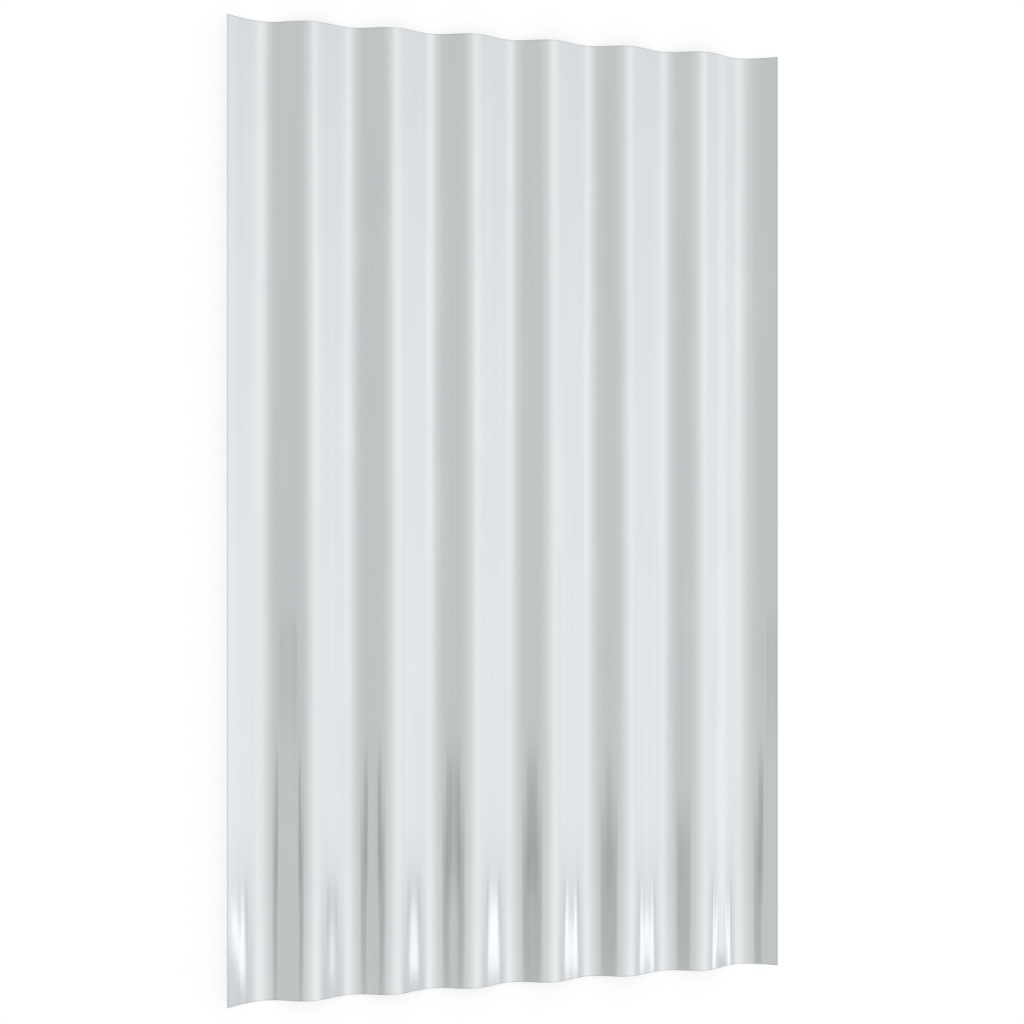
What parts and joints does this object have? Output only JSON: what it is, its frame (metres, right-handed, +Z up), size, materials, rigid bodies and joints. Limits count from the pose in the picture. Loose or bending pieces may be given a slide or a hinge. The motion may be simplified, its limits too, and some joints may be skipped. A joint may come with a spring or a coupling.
{
  "type": "corrugated metal sheet",
  "caption": "Thin corrugated steel sheet with round parallel waves, a lap on each side and square-cut ends, for roofing, cladding or panelling.",
  "frame": {"origin": "centre of the sheet in plan, on the floor that its two outermost valleys lie on", "axes": "+X across the waves, +Y along the waves, +Z up, out of the top side, which is the side the picture shows"},
  "size_m": [0.3606, 0.6, 0.0108],
  "materials": {
    "zinc_coated_steel": "satin"
  },
  "bodies": {
    "root": {"corrugated_sheet": "zinc_coated_steel"}
  },
  "joints": []
}
